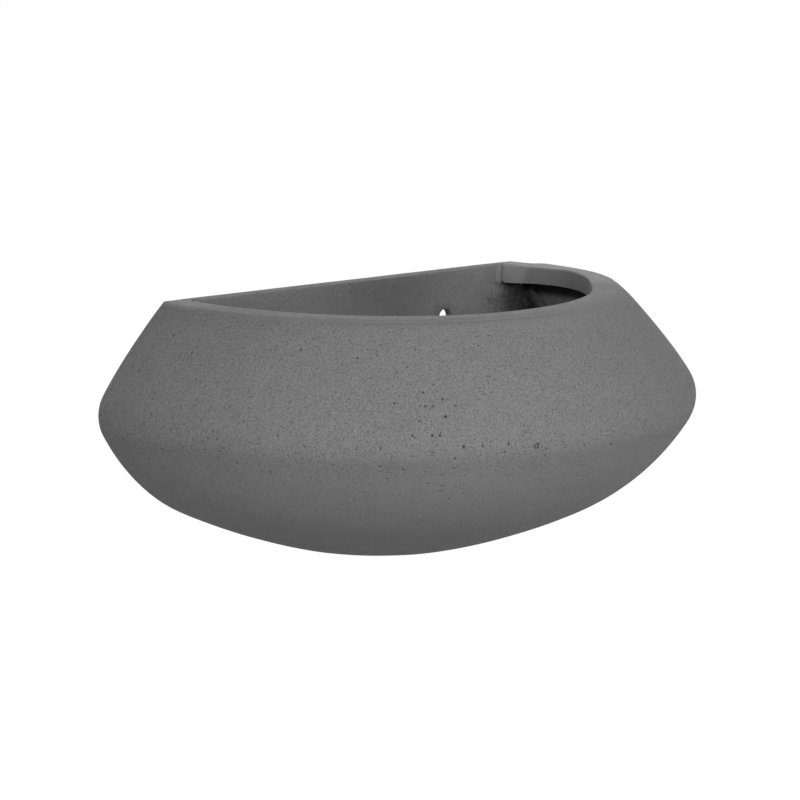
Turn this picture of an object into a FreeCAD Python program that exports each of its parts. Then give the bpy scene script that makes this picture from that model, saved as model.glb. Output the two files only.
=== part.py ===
import FreeCAD, Part
import math
import os

from FreeCAD import Vector

# Wall planter: a half-round bowl of fibre-reinforced cast stone with a flat back.
# Millimetres. +Z is up, +Y points into the wall and the wall is the plane y = 0.
# The origin lies on the wall, midway between the two mounting holes.

# Bowl, turned about an upright axis that stands in front of the wall
WIDTH = 400.0
HEIGHT = 158.0
AXIS_TO_WALL = 25.0
EQUATOR_HEIGHT = 91.5
EQUATOR_ROUNDING = 23.0
RIM_RADIUS = 151.0
RIM_ROUNDING = 3.0
SHOULDER_BOW = 301.0
BELLY_BOW = 139.0
BELLY_START = 31.2
BELLY_MIDDLE = 45.0
BELLY_END = 63.7
UNDERSIDE_BOW = 419.0
WALL = 9.0

# Thickened lip inside the rim
LIP_RADIUS = 134.0
LIP_HEIGHT = 11.5
LIP_EASING = 1.2

# Flat back, let into the bowl and flush with the wall
PANEL = 5.0
PANEL_JOINT = 0.4
HOLE_HEIGHT = 127.5
HOLE_SPACING = 156.0
HOLE_DIAMETER = 9.4

# Mortar that bonds the back to the bowl and to the ends of the lip
SEAM_ON_PANEL = 12.0
SEAM_ON_WALL = 36.0
LIP_SEAM_ALONG_PANEL = 6.0
LIP_SEAM_ALONG_LIP = 3.0

# Drain hole in the floor, with a rubber stopper dropped in from inside
DRAIN_DIAMETER = 20.0
DRAIN_TO_WALL = 62.0
PLUG_GAP = 0.3
PLUG_FLANGE_DIAMETER = 32.0
PLUG_FLANGE = 4.0
PLUG_EASING = 1.5
PLUG_RECESS = 1.5

BASE = -HOLE_HEIGHT
RIM = BASE + HEIGHT
REACH = 2 * WIDTH
SAME_SIZE = 0.01
UP = Vector(0, 0, 1)


def on_profile(radius, height):
    """Point of an upright section, from its distance to the bowl's axis and its height over the base."""
    return Vector(0, radius - AXIS_TO_WALL, BASE + height)


def turned(edges):
    """Solid turned about the bowl's axis from a closed outline."""
    face = Part.Face(Part.Wire(edges))
    return face.revolve(Vector(0, -AXIS_TO_WALL, 0), UP, 360)


def open_line(points):
    """Straight edges from each point to the next."""
    return [Part.makeLine(a, b) for a, b in zip(points, points[1:])]


def outline(points):
    """Straight edges round a closed outline."""
    return open_line(points + points[:1])


def slab(nearest, farthest, low=BASE - WIDTH, high=RIM + WIDTH):
    """Block as wide as needed between two distances in front of the wall and two heights."""
    size = (2 * REACH, farthest - nearest, high - low)
    return Part.makeBox(*size, Vector(-REACH, -farthest, low))


def circle_edges(shape, radius, height):
    """Round edges of a solid at one radius and height over the base."""
    found = []
    for edge in shape.Edges:
        circle = edge.Curve
        if not isinstance(circle, Part.Circle):
            continue
        same_radius = abs(circle.Radius - radius) < SAME_SIZE
        same_height = abs(circle.Center.z - BASE - height) < SAME_SIZE
        if same_radius and same_height:
            found.append(edge)
    return found


class Arc:
    """Arc of the bowl's section: its centre as (radius, height) and its bow radius."""

    def __init__(self, centre, bow):
        self.centre = centre
        self.bow = bow

    def point(self, angle, inset=0):
        """Point of the section at an angle over the horizontal, moved inwards by an inset."""
        reach = self.bow - inset
        turn = math.radians(angle)
        return on_profile(self.centre[0] + reach * math.cos(turn), self.centre[1] + reach * math.sin(turn))

    def angle_at(self, height, inset=0):
        return math.degrees(math.asin((height - self.centre[1]) / (self.bow - inset)))

    def angle_to(self, other):
        """Angle of the line from this arc's centre to another's, where two tangent arcs meet."""
        across = other.centre[0] - self.centre[0]
        return math.degrees(math.atan2(other.centre[1] - self.centre[1], across))

    def edge(self, start, end):
        middle = self.point((start + end) / 2)
        return Part.Arc(self.point(start), middle, self.point(end)).toShape()


def tangent_arc(arc, bow, angle):
    """Arc that takes over from another at an angle, both with the same tangent there."""
    step = arc.bow - bow
    turn = math.radians(angle)
    return Arc((arc.centre[0] + step * math.cos(turn), arc.centre[1] + step * math.sin(turn)), bow)


def shoulder_arc(equator):
    """Bowed shoulder: it passes through the rim's edge and runs smoothly into the equator."""
    across = equator.centre[0] - RIM_RADIUS
    down = equator.centre[1] - HEIGHT
    span = math.hypot(across, down)
    to_equator = SHOULDER_BOW - equator.bow
    along = (SHOULDER_BOW ** 2 - to_equator ** 2 + span ** 2) / (2 * span)
    aside = math.sqrt(SHOULDER_BOW ** 2 - along ** 2)
    foot = (RIM_RADIUS + along * across / span, HEIGHT + along * down / span)
    return Arc((foot[0] + aside * down / span, foot[1] - aside * across / span), SHOULDER_BOW)


EQUATOR = Arc((WIDTH / 2 - EQUATOR_ROUNDING, EQUATOR_HEIGHT), EQUATOR_ROUNDING)
SHOULDER = shoulder_arc(EQUATOR)
BELLY = tangent_arc(EQUATOR, BELLY_BOW, -BELLY_START)
UNDERSIDE = tangent_arc(BELLY, UNDERSIDE_BOW, -BELLY_END)
SHOULDER_END = SHOULDER.angle_to(EQUATOR)


def closed_to_axis(edges, top, bottom):
    """Section edges from the rim down, closed by lines to the bowl's axis and turned into a solid."""
    bottom_centre = Vector(0, -AXIS_TO_WALL, bottom.z)
    top_centre = Vector(0, -AXIS_TO_WALL, top.z)
    return turned(edges + open_line([bottom, bottom_centre, top_centre, top]))


def bowl_outside():
    """Solid with the bowl's outside: four tangent arcs and a rounded rim."""
    rim_angle = SHOULDER.angle_at(HEIGHT)
    base_angle = UNDERSIDE.angle_at(0)
    edges = [
        SHOULDER.edge(rim_angle, SHOULDER_END),
        EQUATOR.edge(SHOULDER_END, -BELLY_START),
        BELLY.edge(-BELLY_START, -BELLY_END),
        UNDERSIDE.edge(-BELLY_END, base_angle),
    ]
    solid = closed_to_axis(edges, SHOULDER.point(rim_angle), UNDERSIDE.point(base_angle))
    return solid.makeFillet(RIM_ROUNDING, circle_edges(solid, RIM_RADIUS, HEIGHT))


def bowl_inside(inset):
    """Solid with the bowl's hand-laid inside: straight courses at an inset from the outside."""
    points = [
        SHOULDER.point(SHOULDER.angle_at(HEIGHT, inset), inset),
        EQUATOR.point(0, inset),
        BELLY.point(-BELLY_MIDDLE, inset),
        BELLY.point(-BELLY_END, inset),
        UNDERSIDE.point(UNDERSIDE.angle_at(inset, inset), inset),
    ]
    return closed_to_axis(open_line(points), points[0], points[-1])


def drain_stem(gap, low, high):
    """Round solid in the drain hole, smaller than the hole by a gap all round, between two heights."""
    place = Vector(0, -DRAIN_TO_WALL, BASE + low)
    return Part.makeCylinder(DRAIN_DIAMETER / 2 - gap, high - low, place, UP)


def make_front_bowl():
    shell = bowl_outside().cut(bowl_inside(WALL))
    return shell.cut(slab(-REACH, 0)).cut(drain_stem(0, 0, WALL))


def make_rim_collar():
    lip_bottom = HEIGHT - LIP_HEIGHT
    corners = [
        (LIP_RADIUS, HEIGHT),
        (RIM_RADIUS, HEIGHT),
        (RIM_RADIUS + LIP_HEIGHT, lip_bottom),
        (LIP_RADIUS, lip_bottom),
    ]
    ring = turned(outline([on_profile(*corner) for corner in corners]))
    ring = ring.makeChamfer(LIP_EASING, circle_edges(ring, LIP_RADIUS, HEIGHT))
    return ring.common(bowl_inside(WALL)).cut(slab(-REACH, PANEL))


def make_back_panel():
    panel = slab(0, PANEL).common(bowl_inside(WALL + PANEL_JOINT))
    for side in (-1, 1):
        centre = Vector(side * HOLE_SPACING / 2, 0, 0)
        panel = panel.cut(Part.makeCylinder(HOLE_DIAMETER / 2, PANEL, centre, Vector(0, -1, 0)))
    return panel


def upright_section(solid, distance):
    """Outline of a solid where an upright plane cuts it, at a distance in front of the wall."""
    return solid.slice(Vector(0, 1, 0), -distance)[0]


def make_seam_fillet():
    """Mortar wedge round the corner of panel and bowl: thickest on the panel, feathered out on the bowl."""
    cavity = bowl_inside(WALL)
    feather_edge = PANEL + SEAM_ON_WALL
    at_panel = upright_section(bowl_inside(WALL + SEAM_ON_PANEL), PANEL)
    at_feather = upright_section(cavity, feather_edge)
    left_open = Part.makeLoft([at_panel, at_feather], True, True)
    bead = cavity.common(slab(PANEL, feather_edge)).cut(left_open)
    return bead.cut(slab(-REACH, REACH, low=RIM - LIP_HEIGHT))


def make_lip_seam(side):
    """Mortar strip in the upright corner between the panel and one end of the lip."""
    corner = side * math.sqrt(LIP_RADIUS ** 2 - (AXIS_TO_WALL - PANEL) ** 2)
    inward = corner - side * LIP_SEAM_ALONG_PANEL
    outward = corner + side * LIP_SEAM_ALONG_LIP
    bottom = RIM - LIP_HEIGHT
    points = [
        Vector(inward, -PANEL, bottom),
        Vector(outward, -PANEL, bottom),
        Vector(outward, -PANEL - LIP_SEAM_ALONG_LIP, bottom),
        Vector(corner, -PANEL - LIP_SEAM_ALONG_LIP, bottom),
    ]
    strip = Part.Face(Part.Wire(outline(points))).extrude(Vector(0, 0, LIP_HEIGHT - LIP_EASING))
    return strip.cut(make_rim_collar())


def make_drain_plug():
    flange_low = WALL + PLUG_GAP
    stem = drain_stem(PLUG_GAP, PLUG_RECESS, flange_low)
    place = Vector(0, -DRAIN_TO_WALL, BASE + flange_low)
    flange = Part.makeCylinder(PLUG_FLANGE_DIAMETER / 2, PLUG_FLANGE, place, UP)
    top_edge = circle_edges(flange, PLUG_FLANGE_DIAMETER / 2, flange_low + PLUG_FLANGE)
    return stem.fuse(flange.makeChamfer(PLUG_EASING, top_edge))


def main():
    pieces = {
        "front_bowl": make_front_bowl(),
        "rim_collar": make_rim_collar(),
        "back_panel": make_back_panel(),
        "seam_fillet": make_seam_fillet(),
        "left_lip_seam": make_lip_seam(-1),
        "right_lip_seam": make_lip_seam(1),
        "drain_plug": make_drain_plug(),
    }
    os.makedirs("parts", exist_ok=True)
    for name, shape in pieces.items():
        shape.exportStep(f"parts/{name}.step")
        print(name, "valid", shape.isValid(), "solids", len(shape.Solids), "volume", round(shape.Volume))


main()
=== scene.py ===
import math
import random

import bmesh
import bpy
import numpy
from mathutils import Matrix, Vector, noise


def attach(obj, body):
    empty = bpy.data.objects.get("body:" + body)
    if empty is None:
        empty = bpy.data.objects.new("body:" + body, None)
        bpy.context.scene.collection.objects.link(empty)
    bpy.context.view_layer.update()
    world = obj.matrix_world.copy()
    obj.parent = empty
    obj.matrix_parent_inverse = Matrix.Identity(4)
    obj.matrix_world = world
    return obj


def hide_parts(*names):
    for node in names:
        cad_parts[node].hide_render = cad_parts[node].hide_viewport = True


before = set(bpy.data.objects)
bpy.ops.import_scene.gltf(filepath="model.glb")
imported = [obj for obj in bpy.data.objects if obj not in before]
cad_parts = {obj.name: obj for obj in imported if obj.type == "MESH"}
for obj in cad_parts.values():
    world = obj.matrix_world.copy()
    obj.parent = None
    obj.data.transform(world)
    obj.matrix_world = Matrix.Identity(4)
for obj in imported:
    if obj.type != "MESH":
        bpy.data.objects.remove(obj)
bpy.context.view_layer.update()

# Wall planter of dark grey cast stone, in metres: +Z is up, +Y points into the wall and the wall is y = 0.
# Heights are over the base. Turns go round the bowl's upright axis, in radians from the front to the right.
# A smooth change has a start, a place where it is complete and, in a table, what it adds.
# A stretch has a smooth beginning and a smooth end. Waves have a level, then a height and a length each.

# Bowl's section, with angles in degrees
AXIS_TO_WALL = 0.025
BASE = -0.1275
HEIGHT = 0.158
WIDTH = 0.400
EQUATOR_HEIGHT = 0.0915
EQUATOR_ROUNDING = 0.023
RIM_RADIUS = 0.151
RIM_ROUNDING = 0.0018
SHOULDER_BOW = 0.301
BELLY_BOW = 0.139
BELLY_START = 31.2
BELLY_END = 63.7
UNDERSIDE_BOW = 0.419
BASE_ROUNDING = 0.001
WALL = 0.009

# Lip inside the rim, and the hollow under it, which also holds a painted shadow
LIP_RADIUS = 0.134
LIP_HEIGHT = 0.0115
LIP_EASING = 0.0012
LIP_TOP = 0.05
UNDERCUT = 0.0155
UNDERCUT_FULL = 0.55
UNDERCUT_BEHIND_LIP = (0.0015, 0.004)
UNDERCUT_FROM_WALL = (0.001, 0.005)
UNDERCUT_DEPTH = 0.003

# Back panel and its mounting holes
PANEL = 0.005
PANEL_EASING = 0.0014
PANEL_EASED_ACROSS = (0.131, 0.124)
HOLE_SPREAD = 0.078
HOLE_RADIUS = 0.0047
HOLE_EASING = 0.0005

# Drain hole and stopper: its foot, edge and dish are pairs of a radius, or an inset, and a height
DRAIN_RADIUS = 0.010
DRAIN_TO_WALL = 0.062
PLUG_GAP = 0.0003
PLUG_RECESS = 0.0015
PLUG_FOOT = ((0.004, 0.0010), (0.0075, 0.0006))
PLUG_STEM_EDGE = ((0.0006, 0.0), (0.0001, 0.0005), (0.0, 0.0012))
PLUG_FLANGE_RADIUS = 0.016
PLUG_FLANGE = 0.004
PLUG_FLANGE_EDGE = 0.0004
PLUG_EASING = 0.0015
PLUG_DISH = ((0.0125, 0.0001), (0.0118, 0.0005), (0.006, 0.0006))

# Rough surfaces
OUTSIDE_WAVES = (0.0000875, (0.0001, 0.070), (0.00005, 0.018))
INSIDE_WAVES = (0.00055, (0.00033, 0.045), (0.00022, 0.012))
LIP_FACE_WAVES = (0.0, (0.0006, 0.022), (0.0003, 0.006))
PANEL_WAVES = (0.0, (0.0003, 0.050), (0.00012, 0.012))
PARTING_WAVES = (0.0, (0.0012, 0.030))
# Wavy edge of the painted light on the lip's face
LIP_LIGHT_WAVES = (0.0, (0.003, 0.010))

# Hand-made bowl and rim: how far and where they leave the true turned form
WALL_EDGE_EASING = 0.0006
LEFT_LIFT = 0.0024
RIGHT_LIFT = 0.0008
LIFT_TURNS = (-0.3, 0.8)
LIFT_HEIGHTS = ((0.020, EQUATOR_HEIGHT), (EQUATOR_HEIGHT, 0.145))
RIGHT_BULGE = 0.0007
BULGE_TURNS = ((0.3, 0.85), (0.95, 1.5))
BULGE_HEIGHTS = ((0.0715, 0.1215), (0.150, HEIGHT))
RIM_END_DROOP = 0.0024
RIM_END_LENGTH = 0.024
RIM_SOFTNESS = 0.0075
RIM_SOFT_SINK = 0.21
RIM_SOFT_TURNS = ((-1.3, -0.8), (0.8, 1.15))
RIM_SIDE_DRIFT = 0.0030
RIM_THINNING = 0.0020
RIM_DRIFT_TURNS = ((0.75, 1.25), (1.25, 1.7))
RIM_DRIFT_HEIGHTS = (0.128, 0.155)

# Hand-laid lip: turns over which its face moves outwards, and turns to each side over which it hangs down
LIP_SIDE_DRIFT = 0.0080
LIP_END_BULGE = 0.0033
LIP_SHIFTS = (
    (0.82, 1.32, LIP_SIDE_DRIFT),
    (1.34, 1.62, -LIP_SIDE_DRIFT - LIP_END_BULGE),
    (-0.2, -1.0, -0.0030),
    (-1.3, -1.7, 0.0030),
)
LIP_END_DROOP = 0.0012
LIP_HANGS = ((1.36, 1.50, -0.0003), (1.50, 1.66, 0.0003), (1.52, 1.74, LIP_END_DROOP))

# Mortar in the corner of the panel and the bowl: its stones are pairs of a height and a size
SEAM_ON_PANEL = 0.012
SEAM_TOP_EDGE = 0.117
SEAM_UPPER = (0.095, 0.128)
SEAM_EDGE_WAVES = (0.0, (0.008, 0.009))
SEAM_ON_WALL = (0.004, (0.003, 0.008))
SEAM_FILLING = (0.006, 0.004)
SEAM_FORWARD = 0.6
SEAM_FULLNESS = 0.6
SEAM_GAP = 0.0002
SEAM_WAVES = (0.0, (0.0012, 0.014))
SEAM_STONES = ((0.0016, 0.0050), (0.0007, 0.0026))
SEAM_STONE_SHIFT = Vector((0.3, 0.1, 0.2))
SEAM_STONE_LEVEL = 0.35
SEAM_STONE_STEEPNESS = 1.4
SEAM_LOWEST = -0.0008

# Mortar at the lip's ends: start from the lip's corner, width, shade, then places across and thickness there
STRIP_OFF_LIP = 0.0008
STRIP_GAP = 0.0002
STRIP_SUNK = 0.0004
STRIP_WAVES = (1.0, (0.25, 0.003))
STRIP_EDGE_WAVES = (0.0, (0.0008, 0.004))
STRIP_EDGE_SHIFT = Vector((0.7, 0, 0))
FILLED_CORNER = (0.0005, 0.0060, 1.65, ((0.0, 0.3, 0.6, 1.0), (0.0045, 0.0032, 0.0018, 0.0)))
RAISED_STRIP = (
    -LIP_END_BULGE - STRIP_OFF_LIP, 0.0052, 1.95,
    ((0.0, 0.1, 0.5, 0.9, 1.0), (0.0, 0.0013, 0.0016, 0.0010, 0.0)),
)

# Air pits in the casting: those seen in front have a turn in degrees, a height and a diameter
PIT_WITH_STONE = (-15.2, 0.0891, 0.0036)
SEEN_PITS = (
    (-30.8, 0.1169, 0.0013), (-28.8, 0.1142, 0.0013), (-30.4, 0.1087, 0.0019), (-33.2, 0.0986, 0.0015),
    (-31.6, 0.0980, 0.0014), (-24.6, 0.0914, 0.0012), (-19.8, 0.0910, 0.0016), (-13.0, 0.0867, 0.0013),
    (-28.0, 0.0896, 0.0016), (-17.0, 0.0466, 0.0012), (-22.5, 0.0430, 0.0012), (-45.9, 0.1386, 0.0012),
)
PIT_SEED = 11
PIT_COUNT = 280
PITS_BY_EQUATOR = 0.45
PIT_BAND = (0.088, 0.014)
PIT_HEIGHTS = (0.012, 0.150)
PIT_TURN = 94
SMALL_PIT = 0.0006
LARGE_PIT = 0.0014
PIT_DEPTH = 0.9
SEEN_PIT_DEPTH = 1.0
STONE_PIT_DEPTH = 0.4
PIT_RAGGED = (0.8, 1.2)
PIT_ROOM = 0.6
# Painted shade in the pits
PIT_PAINTED_SHADE = 0.42

# Pit's rings: radius and depth as shares of the pit's own, and how much painted shade it has there
ROUND_PIT = ((1.25, 0.0, 0.0), (1.0, 0.12, 0.25), (0.86, 0.62, 0.8), (0.5, 1.0, 1.0))
STONE_IN_PIT = ((1.15, 0.0, 0.0), (1.0, 0.2, 0.4), (0.85, 0.9, 0.9), (0.66, 0.85, 0.8), (0.48, 0.2, 0.2))

# Mesh fineness
STEP = 0.0023
INSIDE_STEP = 0.0035
SEAM_STEP = 0.0012
COLUMNS = 296
EDGE_SHARES = (0, 0.0012, 0.0028, 0.0052, 0.0085, 0.0130)
RIM_COURSES = 8
CHORD_POINTS = 60
FLOOR_RINGS = 7
PATCH_MARGIN = 1.5
EASING_STEPS = 5
LIP_COLUMNS = 240
LIP_COURSES = (9, 8, 6, 3)
PANEL_COLUMNS = 150
PANEL_COURSES = 66
PANEL_EDGE_SHARES = (0, 0.004)
SEAM_COLUMNS = 36
SEAM_FLOOR_STATIONS = 90
STRIP_COURSES = 22
STRIP_COLUMNS = 14
PLUG_SIDES = 72
PLUG_EASING_STEPS = 6

# Shades, where 1 is plain stone: by height outside, by turn on the rim, and across the panel and the mortar
PARTING_HEIGHT = 0.0875
PARTING_EDGE = (0.0880, 0.0855)
# Painted light and shade by height: darker from the equator down, darkest under the parting line, lighter on
# the belly, darker on the foot
OUTSIDE_PAINTED_LIGHT_AND_SHADE = (
    (0.114, 0.100, -0.055),
    (0.094, 0.088, 0.025),
    (*PARTING_EDGE, -0.03),
    (PARTING_HEIGHT, 0.070, 0.10),
    (0.055, 0.012, -0.07),
)
TROWELLED_HEIGHTS = (0.149, 0.157)
TROWELLED_TURNS = (-0.9, -0.2)
DULL_HEIGHTS = (0.143, 0.156)
DULL_TURNS = (-0.9, -1.2)
UPPER_EDGE_SHADE = 0.08
RIM_SHADE = 1.1
# The rim's paler right end is a painted sheen
RIM_SHADES_AND_SHEEN = (
    (0.8, 1.1, 0.50),
    (-0.6, 0.0, 0.06),
    (-1.05, -1.20, -0.12),
    (-1.42, -1.52, 0.12),
    (-1.48, -1.58, 0.16),
)
LIP_SHADE = 1.06
# Painted light on the lip's face by the wall
LIP_PAINTED_LIGHT = 0.62
LIP_PAINTED_LIGHT_EDGE = (0.027, 0.019)
# Painted light on the inside and on its floor
INSIDE_PAINTED_LIGHT = 2.0
# Painted shadow in the hollow under the lip: how much of the inside's shade it takes away
UNDERCUT_PAINTED_SHADOW = 0.92
PANEL_SHADE = 0.97
PANEL_SHADES = ((0.0, -0.06, 0.20), (-0.025, 0.030, -0.12), (0.035, 0.068, 0.12), (0.05, 0.11, 0.25))
# Painted light on the panel's top, then painted shade under it that gives way to painted light lower down
PANEL_TOP_PAINTED_LIGHT = 1.15
PANEL_UPPER_PAINTED_SHADE = 0.82
PANEL_LOWER_PAINTED_LIGHT = 0.36
PANEL_PAINTED_LIGHT_DEPTHS = (0.002, 0.030)
SEAM_SHADE = 2.1
# Mortar: pale where it feathers out on the panel, darker across its middle, which is partly painted shade
# under the lip
SEAM_SHADES = ((0.0, 0.3, -1.2), (0.55, 0.86, 1.7))
# Painted shade between the mortar's stones, by how far they sink
SEAM_LUMP_PAINTED_SHADE = 0.0016

# Shadow in the mortar under the lip: its reach down, how dark it is, and where it starts across the mortar
SEAM_SHADOWS = ((0.004, 0.8, (0.05, 0.3)), (0.011, 0.95, (0.55, 0.70)))

# Grain, where 1 is the sandiest stone
OUTSIDE_GRAINS = ((*PARTING_EDGE, -0.15), (PARTING_HEIGHT, 0.045, -0.20))
TROWELLED_GRAIN = 0.6
SANDY_TURNS = (0.1, 0.5)
SANDY_GRAIN = 0.35
RIM_GRAIN = 0.3
INSIDE_GRAIN = 0.45
PANEL_GRAIN = 0.6

# Stone: patches have a size and a strength, holes and specks a spacing, a radius and a share of places
STONE_GREY = 0.195
MORTAR_GREY = 0.12
MORTAR_COARSENESS = 1.6
STONE_LEVEL = 1.06
CLOUDS = (0.060, 0.12)
BLOTS = (0.008, 0.18)
CLOUD_DETAIL = 3
SAND = (0.0011, 1.35)
SAND_DETAIL = 2
SAND_ROUGHNESS = 0.6
SAND_BUMP = 0.00025
FINE_HOLES = (0.0021, 0.27, 0.5)
MIDDLE_HOLES = (0.0050, 0.13, 0.5)
LARGE_HOLES = (0.0105, 0.08, 0.5)
# Painted shade in the air holes, for the fine ones and the others
FINE_HOLE_PAINTED_SHADE = 0.40
HOLE_PAINTED_SHADE = 0.55
LIGHT_SPECKS = (0.011, 0.05, 0.35)
SPECK_LIGHT = 0.25
SPECK_CORE = 0.6
USUAL_NOISE = (0.3, 0.7)
STONE_ROUGHNESS = (0.004, 0.72, 0.88)
STONE_GLOSS = 0.3

# Rubber
RUBBER_GREY = 0.02
RUBBER_CLOUDS = (0.004, 0.6, 0.7)
RUBBER_ROUGHNESS = (0.0015, 0.5, 0.68)
RUBBER_BUMP = (0.0006, 0.00005)
RUBBER_GLOSS = 0.4

# Camera, with angles in degrees and the lens in millimetres
CAMERA_PLACE = (-1.19043, -1.33871, 0.28066)
CAMERA_YAW = 42.666
CAMERA_PITCH = 10.354
CAMERA_ROLL = 0.557
CAMERA_LENS = 128.86
CAMERA_SENSOR = 36

# Light and stage: soft lights have a direction and a strength, lamps a place, a size and a power in watts
MIDDLE = Vector((0, -0.1, 0))
FLOOR_HEIGHT = -0.45
FLOOR_HALF_WIDTH = 30.0
FLOOR_BOUNCE = 0.2
FLOOR_SEEN = 0.93
FLOOR_WHITENING = (0.25, 0.45)
SOFT_LIGHTS = (
    ((0.0, -1.0, 0.05), 3.25),
    ((-0.95, -0.3, 0.1), 1.58),
    ((0.95, -0.3, 0.1), 0.75),
    ((0.0, 0.9, 0.4), 0.8),
    ((0.0, 0.0, 1.0), 0.25),
)
SOFTNESS = 4.0
RIM_LAMP = ((0.9, 0.9, 0.45), 0.6, 3.6)
LOW_LAMP = ((-0.75, -1.15, -0.22), 0.8, 6.2)


# Section of the bowl, as radius from its axis and height over its base

class Arc:
    """Arc of the section: its centre as (radius, height) and its bow radius."""

    def __init__(self, centre, bow):
        self.centre = centre
        self.bow = bow

    def point(self, angle, inset=0.0):
        reach = self.bow - inset
        turn = math.radians(angle)
        return (self.centre[0] + reach * math.cos(turn), self.centre[1] + reach * math.sin(turn))

    def angle_at(self, height, inset=0.0):
        return math.degrees(math.asin((height - self.centre[1]) / (self.bow - inset)))

    def angle_to(self, other):
        across = other.centre[0] - self.centre[0]
        return math.degrees(math.atan2(other.centre[1] - self.centre[1], across))

    def walk(self, start, end, step, inset=0.0):
        """Points from one angle up to, but not at, another, about a step apart."""
        length = abs(math.radians(end - start)) * (self.bow - inset)
        count = max(2, round(length / step))
        return [self.point(start + (end - start) * i / count, inset) for i in range(count)]

    def tangent(self, bow, angle):
        """Arc that takes over smoothly from this one at an angle."""
        return Arc(self.point(angle, bow), bow)

    def rounding(self, level, radius, side):
        """Rounded edge where this arc meets a level plane: side is 1 under the plane, -1 over it."""
        height = level - side * radius
        reach = math.sqrt((self.bow - radius) ** 2 - (height - self.centre[1]) ** 2)
        return Arc((self.centre[0] + reach, height), radius)


def shoulder_arc(equator):
    """Bowed shoulder through the rim's edge that runs smoothly into the equator."""
    across = equator.centre[0] - RIM_RADIUS
    down = equator.centre[1] - HEIGHT
    span = math.hypot(across, down)
    to_equator = SHOULDER_BOW - equator.bow
    along = (SHOULDER_BOW ** 2 - to_equator ** 2 + span ** 2) / (2 * span)
    aside = math.sqrt(SHOULDER_BOW ** 2 - along ** 2)
    foot = (RIM_RADIUS + along * across / span, HEIGHT + along * down / span)
    return Arc((foot[0] + aside * down / span, foot[1] - aside * across / span), SHOULDER_BOW)


EQUATOR = Arc((WIDTH / 2 - EQUATOR_ROUNDING, EQUATOR_HEIGHT), EQUATOR_ROUNDING)
SHOULDER = shoulder_arc(EQUATOR)
BELLY = EQUATOR.tangent(BELLY_BOW, -BELLY_START)
UNDERSIDE = BELLY.tangent(UNDERSIDE_BOW, -BELLY_END)
RIM_EDGE = SHOULDER.rounding(HEIGHT, RIM_ROUNDING, 1)
BASE_EDGE = UNDERSIDE.rounding(0.0, BASE_ROUNDING, -1)
SHOULDER_END = SHOULDER.angle_to(EQUATOR)
LIP_JOINT = SHOULDER.point(SHOULDER.angle_at(HEIGHT, WALL), WALL)


def between(first, last, count):
    """Evenly spaced points from first up to, but not at, last."""
    return [tuple(a + (b - a) * i / count for a, b in zip(first, last)) for i in range(count)]


def nearest(values, target):
    """Index of the value nearest to a target."""
    return min(range(len(values)), key=lambda i: abs(values[i] - target))


def quarter_turn(steps):
    """Angles from 0 to a quarter turn."""
    return [i / steps * math.pi / 2 for i in range(steps + 1)]


def outside_section():
    """Outside from the base's edge up to the rim's rounding."""
    points = BASE_EDGE.walk(-90, UNDERSIDE.angle_to(BASE_EDGE), BASE_ROUNDING / 3)
    points += UNDERSIDE.walk(UNDERSIDE.angle_to(BASE_EDGE), -BELLY_END, STEP)
    points += BELLY.walk(-BELLY_END, -BELLY_START, STEP)
    points += EQUATOR.walk(-BELLY_START, SHOULDER_END, STEP)
    points += SHOULDER.walk(SHOULDER_END, SHOULDER.angle_to(RIM_EDGE), STEP)
    return points


def rim_section():
    """Rounded rim and its flat top, in to where the lip's top begins."""
    rounded = RIM_EDGE.walk(SHOULDER.angle_to(RIM_EDGE), 90, RIM_ROUNDING / 4)
    return rounded + between(RIM_EDGE.point(90), LIP_JOINT, RIM_COURSES) + [LIP_JOINT]


def inside_section(step):
    """Inside, a wall's thickness from the outside, from the rim's height down to the edge of the floor."""
    under_lip = SHOULDER.angle_at(HEIGHT - LIP_HEIGHT - UNDERCUT, WALL)
    bottom = UNDERSIDE.angle_at(WALL, WALL)
    points = SHOULDER.walk(SHOULDER.angle_at(HEIGHT, WALL), under_lip, step / 3, WALL)
    points += SHOULDER.walk(under_lip, SHOULDER_END, step, WALL)
    points += EQUATOR.walk(SHOULDER_END, -BELLY_START, step, WALL)
    points += BELLY.walk(-BELLY_START, -BELLY_END, step, WALL)
    points += UNDERSIDE.walk(-BELLY_END, bottom, step, WALL)
    return points + [UNDERSIDE.point(bottom, WALL)]


INSIDE = inside_section(INSIDE_STEP)
INSIDE_RADII, INSIDE_HEIGHTS = zip(*INSIDE[::-1])


def normals_of(section):
    """Unit normal at each point of a section, pointing out of the material."""
    normals = []
    for i in range(len(section)):
        before = section[max(i - 1, 0)]
        after = section[min(i + 1, len(section) - 1)]
        across = after[0] - before[0]
        rise = after[1] - before[1]
        length = math.hypot(across, rise)
        normals.append((rise / length, -across / length))
    return normals


def inside_radius(height):
    """Radius of the inside at a height."""
    return numpy.interp(height, INSIDE_HEIGHTS, INSIDE_RADII)


# Points round the bowl

def on_bowl(radius, turn, height):
    """Point at a radius, a turn and a height."""
    across = radius * math.sin(turn)
    return Vector((across, -AXIS_TO_WALL - radius * math.cos(turn), BASE + height))


def turn_of(point):
    return math.atan2(point.x, -AXIS_TO_WALL - point.y)


def radius_of(point):
    return math.hypot(point.x, point.y + AXIS_TO_WALL)


def turn_at_wall(radius, distance=0.0):
    """Turn at which a circle of the bowl comes within a distance of the wall."""
    return math.acos((distance - AXIS_TO_WALL) / radius)


# Smooth and rough changes

def smooth_step(value, start, full):
    """Smooth change from 0 at one value to 1 at another, which may be the lower of the two."""
    share = min(max((value - start) / (full - start), 0.0), 1.0)
    return share * share * (3 - 2 * share)


def within(value, begin, end):
    """1 inside a stretch, rising from 0 over its beginning and falling to 0 over its end."""
    return smooth_step(value, *begin) * (1 - smooth_step(value, *end))


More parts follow.
